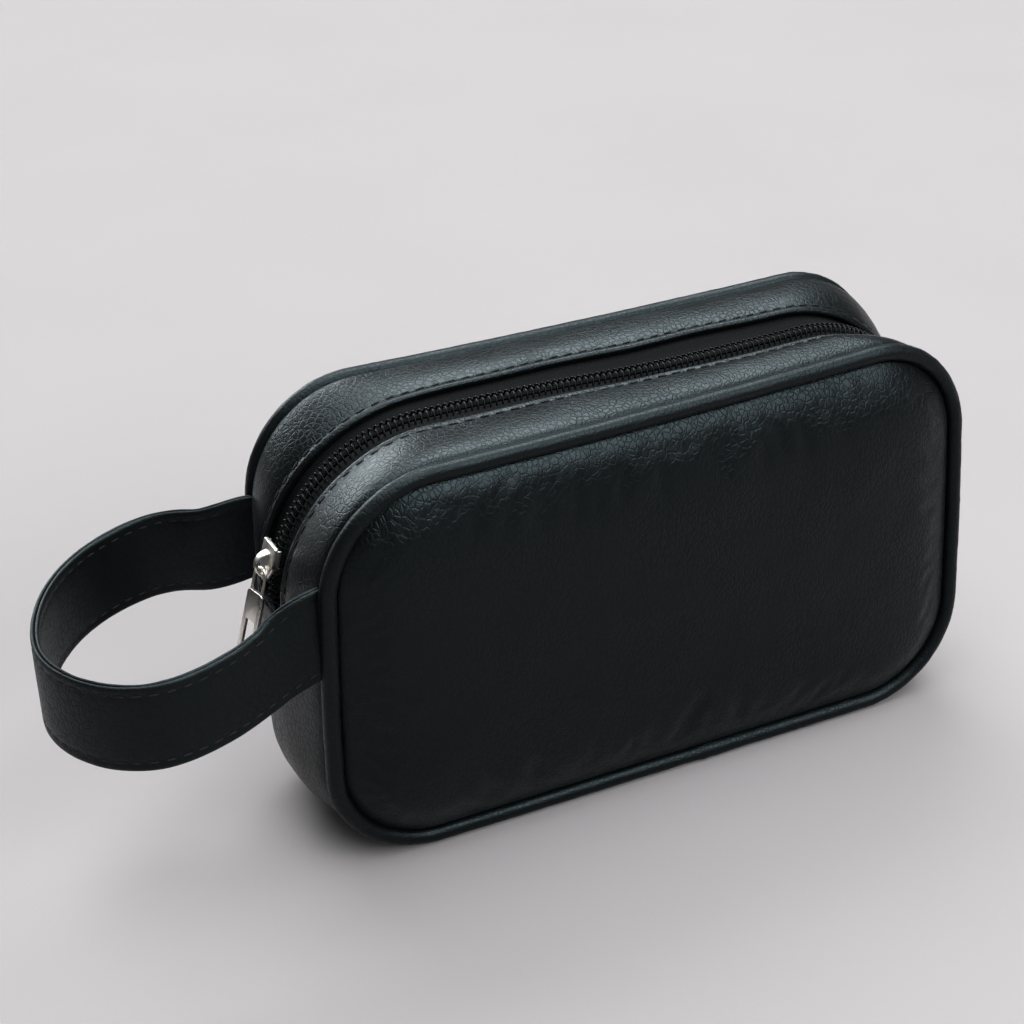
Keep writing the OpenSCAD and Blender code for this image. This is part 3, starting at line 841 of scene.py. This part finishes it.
# A flat plate with round edges from closed outlines; an outline inside another is a hole
def plateSolid(outlines, low, high, bevel):
    curve = bpy.data.curves.new("plate", "CURVE")
    curve.dimensions, curve.fill_mode = "2D", "BOTH"
    curve.extrude, curve.bevel_depth = (high - low) / 2000 - bevel / 1000, bevel / 1000
    curve.bevel_resolution = 2
    curve.offset = -bevel / 1000
    for outline in outlines:
        spline = curve.splines.new("POLY")
        spline.points.add(len(outline) - 1)
        for point, (u, v) in zip(spline.points, outline):
            point.co = (u / 1000, v / 1000, 0, 1)
        spline.use_cyclic_u = True
    obj = addObject("plate", curve)
    graph = bpy.context.evaluated_depsgraph_get()
    mesh = bpy.data.meshes.new_from_object(obj.evaluated_get(graph), depsgraph=graph)
    bm = bmesh.new()
    bm.from_mesh(mesh)
    bmesh.ops.remove_doubles(bm, verts=bm.verts, dist=1e-7)
    bmesh.ops.recalc_face_normals(bm, faces=bm.faces)
    bm.to_mesh(mesh)
    bm.free()
    points = np.array([v.co for v in mesh.vertices]) * 1000
    points[:, 2] += (low + high) / 2
    faces = [list(f.vertices) for f in mesh.polygons]
    bpy.data.objects.remove(obj)
    return points, faces


def mergeSolids(solids):
    points, faces = [], []
    for p, f in solids:
        base = sum(len(q) for q in points)
        points.append(np.asarray(p, dtype=float))
        faces += [[v + base for v in face] for face in f]
    return np.concatenate(points), faces


# A round wire or a flat strip along a line: section gives its half-width and half-thickness
def sweepSolid(line, sideways, section, count=12, squareness=1.0):
    line = np.asarray(line, dtype=float)
    ahead = np.gradient(line, axis=0)
    ahead /= np.linalg.norm(ahead, axis=1)[:, None]
    side = np.asarray(sideways, dtype=float)
    rings = []
    for k, p in enumerate(line):
        up = np.cross(ahead[k], side)
        up /= np.linalg.norm(up)
        across = np.cross(up, ahead[k])
        w, t = section(k / (len(line) - 1))
        for j in range(count):
            a = 2 * math.pi * (j + 0.5) / count
            c, s = math.cos(a), math.sin(a)
            c, s = math.copysign(abs(c) ** squareness, c), math.copysign(abs(s) ** squareness, s)
            rings.append(p + across * w * c + up * t * s)
    return np.array(rings), ringFaces(len(line), count)


def makeSliderBody():
    shield = roundCorners([(4.8, -3.6), (4.8, 3.6), (-0.8, 3.95), (-4.2, 2.0), (-5.3, 0.9), (-5.3, -0.9),
                           (-4.2, -2.0), (-0.8, -3.95)], 0.7)
    solids = [plateSolid([shield], *slider["plate"], 0.22), plateSolid([shield], *slider["lowerPlate"], 0.2)]
    for s in (-1, 1):
        wall = roundCorners([(-1.0, s * 3.75), (4.2, s * 3.65), (4.2, s * 3.15), (-1.0, s * 3.15)], 0.15)
        solids.append(plateSolid([wall], -0.4, 0.6, 0.08))
    wedge = roundCorners([(-4.4, -0.2), (-2.4, -0.2), (-2.4, 0.2), (-4.4, 0.2)], 0.1)
    solids.append(plateSolid([wedge], -3.4, 0.6, 0.03))
    points, faces = mergeSolids(solids)
    swell = np.where(points[:, 2] > 1.3, 0.16 * (1 - (points[:, 1] / 4) ** 2), 0)
    points[:, 2] += swell
    return makeMesh("sliderBody", onZip(points), faces, satinNickel, outward=True)


def makeBail():
    cu, cn = slider["bailCentre"]
    turn = np.radians(np.linspace(10, 168, 25))
    r = slider["bailRadius"]
    line = [(cu + r * math.cos(a), 0, cn + r * math.sin(a)) for a in turn]
    wide, narrow = slider["bailWide"]
    thick = slider["bailThick"] / 2
    strip = sweepSolid(line, (0, 1, 0), lambda t: (wide / 2 + (narrow - wide) / 2 * t, thick), 16, 0.45)
    return makeMesh("sliderBail", onZip(strip[0]), strip[1], satinNickel, outward=True)


def makePullTab():
    r, top = slider["ring"], slider["tabTop"]
    legs = [(-top - 0.8 + (top + 0.8 - r) * t, -r, 0) for t in np.linspace(0, 1, 6)[:-1]]
    bow = [(-r + r * math.cos(a), r * math.sin(a), 0) for a in np.radians(np.linspace(-90, 90, 19))]
    line = legs + bow + [(p[0], -p[1], 0) for p in reversed(legs)]
    wire = sweepSolid(line, (0, 0, 1), lambda t: (slider["wire"], slider["wire"]))
    w = slider["tabWide"] / 2
    a, b, gap = slider["window"]
    outer = roundCorners([(-top, -w + 0.7), (-top, w - 0.7), (-top - 0.7, w), (-slider["tabEnd"], w),
                          (-slider["tabEnd"], -w), (-top - 0.7, -w)], 0.75)
    hole = roundCorners([(-a, -gap / 2), (-a, gap / 2), (-b, gap / 2), (-b, -gap / 2)], 0.35)
    plate = plateSolid([outer, hole], -slider["tabThick"] / 2, slider["tabThick"] / 2, 0.22)
    points, faces = mergeSolids([wire, plate])
    pu, pn = slider["pivot"]
    t = math.radians(slider["twist"])          # it hangs a little turned on its ring
    points = points @ np.array([[1, 0, 0], [0, math.cos(t), math.sin(t)], [0, -math.sin(t), math.cos(t)]])
    return makeMesh("pullTab", onZip(points + np.array([pu, 0, pn])), faces, satinNickel, outward=True)


place(makeSliderBody(), "slider", "nickel", "slider_body")
place(makeBail(), "slider", "nickel", "slider_bail")
place(makePullTab(), "pull_tab", "nickel", "pull_tab")
print("slider done")


# ---------- strap ----------

strap = {
    "width": 23.5, "height": 74.5, "sag": 8.3, "sagReach": 12.0,
    "pivotX": -107.25, "pivotZ": 68.423, "tipX": -153.6, "steps": 26,
    "stitchIn": 2.4, "pitch": 3.9,
    "blendFrom": -97.0, "blendTo": -117.5,
}


def strapCurves():
    px, tip = strap["pivotX"], strap["tipX"]
    return [
        [(-86, -21.9), (-93, -22.0), (-100.5, -25.2), (px, -27)],
        [(px, -27), (-114, -29.2), (-122, -31.8), (-130, -31.9)],
        [(-130, -31.9), (-143, -32), (tip, -19), (tip, -6)],
        [(tip, -6), (tip, 6), (-143, 33), (-119, 35.8)],
        [(-119, 35.8), (-114.5, 36.3), (-110.8, 35.5), (px, 33)],
        [(px, 33), (-102.5, 29.7), (-97.5, 22.0), (-86, 21.7)]]


# Middle line of the strap, the way across its width and the way outwards
def strapFrame():
    flat = []
    for curve in strapCurves():
        c = np.array(curve, dtype=float)
        for t in np.linspace(0, 1, strap["steps"], endpoint=False):
            flat.append((1 - t) ** 3 * c[0] + 3 * t * (1 - t) ** 2 * c[1] + 3 * t * t * (1 - t) * c[2]
                        + t ** 3 * c[3])
    flat.append(np.array(strapCurves()[-1][3], dtype=float))
    flat = np.array(flat)
    reach = strap["sagReach"] * (1 + 1.3 * ease(-15, 20, flat[:, 1]))
    drop = np.where(flat[:, 0] < -half, 1 - np.exp((flat[:, 0] + half) / reach), 0)
    drop = drop + 0.1 * ease(-10, 20, flat[:, 1])
    line = np.stack([flat[:, 0], flat[:, 1], strap["height"] - strap["sag"] * drop], axis=1)
    for side in (-1, 1):                 # the ends follow the seams that they are sewn into
        seam = np.array([[-half + 3, side * 22.0, strap["height"]]])
        shift = (settle(seam) - seam)[0]
        near = ease(strap["pivotX"] + 4, -half + 2, line[:, 0]) * (np.sign(line[:, 1]) == side)
        line = line + near[:, None] * shift
    run = np.concatenate([[0], np.cumsum(np.linalg.norm(np.diff(line, axis=0), axis=1))])
    even = np.linspace(0, run[-1], 190)
    line = np.stack([np.interp(even, run, line[:, k]) for k in range(3)], axis=1)
    for _ in range(4):
        line[1:-1] = (line[:-2] + 2 * line[1:-1] + line[2:]) / 4
    ahead = np.gradient(line, axis=0)
    ahead /= np.linalg.norm(ahead, axis=1)[:, None]
    up = np.array([0, 0, 1]) - ahead[:, 2:] * ahead
    up /= np.linalg.norm(up, axis=1)[:, None]
    outward = -np.cross(ahead, up)
    return line, up, outward


strapLine, strapUp, strapOut = strapFrame()
if np.dot(strapOut[len(strapOut) // 2], (-1, 0, 0)) < 0:
    strapOut = -strapOut

# Half of a ply's section, from its middle to its edge: across, how far its face stands out
plyFace = [(0.0, 1.12), (4.0, 1.12), (7.2, 1.1), (8.6, 1.0), (9.35, 0.86), (10.0, 1.0), (10.7, 1.1),
           (11.3, 1.0), (11.62, 0.8), (11.75, 0.52)]
plyBack = [(11.6, 0.22), (11.2, 0.06), (9.0, 0.03), (0.0, 0.03)]


def makePly(name, side):
    upper = plyFace + plyBack
    section = upper + [(-v, n) for v, n in reversed(upper) if v > 0]
    rings = []
    for k in range(len(strapLine)):
        p, up, out = strapLine[k], strapUp[k], strapOut[k] * side
        for v, n in section:
            edge = 0.06 * noise.noise(Vector((p[0] / 5, p[1] / 5, v + side * 7)))
            rings.append(p + up * (v + (edge * 2 if abs(v) > 11 else 0)) + out * (n + edge))
    return makeMesh(name, rings, ringFaces(len(strapLine), len(section)), strapLeather, outward=True)


# Bakes the strap piece's placement into its mesh and hides the model's parts that it stands for
def placeOnStrap(obj, slotName, *nodes):
    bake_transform(obj)
    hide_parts(*nodes)


placeOnStrap(makePly("strapOuter", 1), "leather", "strap_outer", "strap_end_front", "strap_end_back")
placeOnStrap(makePly("strapInner", -1), "leather", "strap_inner")

keep = strapLine[:, 0] < -half - 0.5
for end, edge in (("Upper", 1), ("Lower", -1)):
    both = []
    for face in (1, -1):
        seam = strapLine + strapUp * edge * (strap["width"] / 2 - strap["stitchIn"]) + strapOut * face * 0.92
        both.append(layRow("seam", "stitch", seam[keep], (strapOut * face)[keep], blackThread,
                           Pitch=strap["pitch"] / 1000, Size=(0.0029, 0.0006, 0.0005)))
    row = joinRows("strapStitches" + end, both, blackThread)
    placeOnStrap(row, "thread", "strap_stitches_" + end.lower())
print("strap done")


# ---------- linings inside ----------

# Strips are given as distance from the middle and depth below the outline; a binding as inset and distance
lining = {
    "columns": 40, "rows": 24, "scale": 0.985, "faces": (24.1, 23.7),
    "top": [(20.2, 2.9, 0), (20.2, 3.3, 0), (13.0, 3.6, 0), (7.0, 3.9, 0), (7.0, 3.5, 0), (13.0, 3.2, 0)],
    "binding": [(2.6, 22.5), (2.9, 22.7), (6.8, 22.7), (7.2, 22.2), (7.2, 21.2), (6.8, 20.7), (3.4, 20.7),
                (3.1, 21.2)],
    "bottomWide": 20.2, "bottomDepths": (2.1, 2.5),
}


def makeLiningPanel(name, side):
    n, m = lining["columns"], lining["rows"]
    flat, _ = panelGrid(n, m)
    mid = np.array([0, bag["height"] / 2])
    flat = mid + (flat - mid) * lining["scale"]
    points = np.concatenate([np.stack([flat[:, 0], np.full(len(flat), side * y), flat[:, 1]], axis=1)
                             for y in lining["faces"]])
    return makeMesh(name, settle(points), closeSheet(gridFaces(n, m), n, m), liningCloth, outward=True)


def makeBinding(name, side):
    rings = []
    for inset, y in lining["binding"]:
        xz, _ = outlineRing(inset, 60, 34)
        rings.append(np.stack([xz[:, 0], np.full(len(xz), side * y), xz[:, 1]], axis=1))
    return ringMesh(name, np.stack(rings, axis=1), bindingCloth, closed=True)


for end, side in (("front", -1), ("back", 1)):
    place(makeLiningPanel(end + "Lining", side), "bag", "lining", end + "_lining")
    place(makeBinding(end + "SeamBinding", side), "bag", "binding", end + "_seam_binding")
    strip = ringMesh("gussetLining" + end.capitalize(), stripPoints(lining["top"], side, overTop),
                     liningCloth)
    place(strip, "bag", "lining", "gusset_lining_" + end)

across = np.linspace(-lining["bottomWide"], lining["bottomWide"], 9)
under = [(y, depth, 0) for depth, ys in zip(lining["bottomDepths"], (across, across[::-1])) for y in ys]
rings = stripPoints(under, 1, lambda y, inset: underBottom(bottomStrip["ends"][3:], inset))
place(ringMesh("gussetLiningBottom", rings, liningCloth), "bag", "lining", "gusset_lining_bottom")
print("linings done")


# ---------- floor, light and camera ----------

studio = {
    "camera": (-222.7, -384.9, 330.8), "target": (-27.7, 0.0, 77.4), "lens": 68.0, "roll": 0.56,
    "world": 0.08, "worldColour": (0.98, 0.97, 1.0, 1), "floor": 3000,
    "light": (1.0, 0.995, 1.0), "shine": (0.86, 0.96, 1.0),
}

reach = studio["floor"]
floor = makeMesh("floor", [(-reach, -reach, 0), (reach, -reach, 0), (reach, reach, 0), (-reach, reach, 0)],
                 [[0, 1, 2, 3]], makeFloor("paleFloor"), smooth=False)


# A soft light in metres and watts; one for shine is seen only in the leather's and the metal's gloss
def addLight(name, spot, aim, size, watts, forShine=False):
    data = bpy.data.lights.new(name, "AREA")
    data.shape, data.size, data.size_y = "RECTANGLE", size[0], size[1]
    data.energy, data.color = watts, studio["shine" if forShine else "light"]
    obj = addObject(name, data)
    obj.location = spot
    obj.rotation_euler = (Vector(aim) - Vector(spot)).to_track_quat("-Z", "Y").to_euler()
    obj.visible_diffuse = not forShine


addLight("keySoftbox", (0.36, 1.75, 2.4), (0, 0, 0), (2.4, 1.2), 44)
addLight("overheadSoftbox", (0.1, -0.1, 3.0), (0, 0, 0), (3.2, 3.2), 88)
addLight("frontSoftbox", (1.25, -2.6, 2.0), (0, 0, 0.05), (2.4, 1.4), 46)
addLight("shineBackLeft", (-0.40, 2.50, 0.90), (0, 0, 0.05), (1.8, 1.1), 66, True)
addLight("shineBackRight", (1.30, 1.10, 2.40), (0, 0, 0.05), (1.5, 0.9), 92, True)
addLight("shineAbove", (-0.1, 0.2, 2.9), (0, 0, 0.05), (2.0, 1.6), 84, True)
addLight("shineFront", (1.10, -1.65, 2.15), (0, 0, 0.05), (1.9, 1.2), 92, True)

world = bpy.data.worlds.new("studio")
world.use_nodes = True
sky = world.node_tree.nodes["Background"].inputs
sky[0].default_value, sky[1].default_value = studio["worldColour"], studio["world"]
scene.world = world
scene.view_settings.view_transform = "Standard"

eye, target = Vector(studio["camera"]) / 1000, Vector(studio["target"]) / 1000
back = (eye - target).normalized()
right = Vector((0, 0, 1)).cross(back).normalized()
up = back.cross(right)
roll = math.radians(studio["roll"])
right, up = right * math.cos(roll) - up * math.sin(roll), right * math.sin(roll) + up * math.cos(roll)
lens = bpy.data.cameras.new("camera")
lens.lens, lens.sensor_width, lens.sensor_fit = studio["lens"], 36.0, "HORIZONTAL"
lens.clip_start = 0.01
camera = addObject("camera", lens)
camera.matrix_world = Matrix.Translation(eye) @ Matrix((right, up, back)).transposed().to_4x4()
scene.camera = camera
print("stage set")
